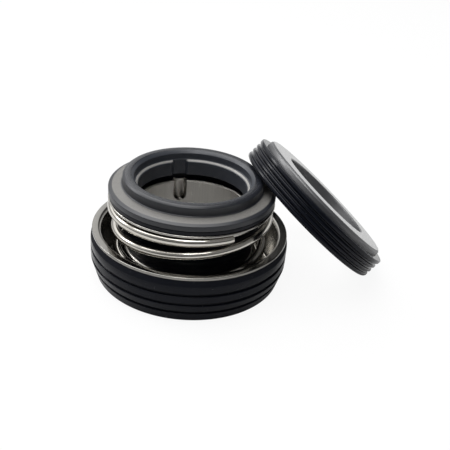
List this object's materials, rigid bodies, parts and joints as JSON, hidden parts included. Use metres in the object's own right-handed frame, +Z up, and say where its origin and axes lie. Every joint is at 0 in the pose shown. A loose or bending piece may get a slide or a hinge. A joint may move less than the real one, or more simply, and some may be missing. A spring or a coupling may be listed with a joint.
{
  "type": "component mechanical seal",
  "caption": "Component mechanical seal: a sprung carbon ring in a flanged steel case with a ribbed rubber cover, and a mating seat ring in a ribbed rubber boot that leans on it.",
  "frame": {"origin": "on the seal head's axis, in the plane of the case's base", "axes": "+Z up the head's axis towards its sealing face; the mating seat leans on the head's +X side"},
  "size_m": [0.0724, 0.0522, 0.0317],
  "materials": {
    "drawn_steel": "drawn stainless sheet, satin",
    "moulded_rubber": "moulded rubber, soft sheen",
    "bellows_rubber": "thin moulded rubber",
    "spring_wire": "drawn stainless wire",
    "carbon": "turned carbon graphite, lapped on its face",
    "seat_ceramic": "grey ceramic, ground, lapped on its face"
  },
  "bodies": {
    "head": {"case": "drawn_steel", "case_rubber": "moulded_rubber", "bellows": "bellows_rubber", "bellows_clamp": "drawn_steel", "spring": "spring_wire", "seat_ring": "seat_ceramic", "seat_boot": "moulded_rubber"},
    "sealing_ring": {"carbon_ring": "carbon", "spring_retainer": "drawn_steel"}
  },
  "joints": [
    {"name": "ring_slide", "type": "slide", "parent": "head", "child": "sealing_ring", "axis": [0, 0, -1], "range_m": [0, 0.0018], "stiffness_N_per_m": 1700, "deforming": ["spring", "bellows"]}
  ]
}
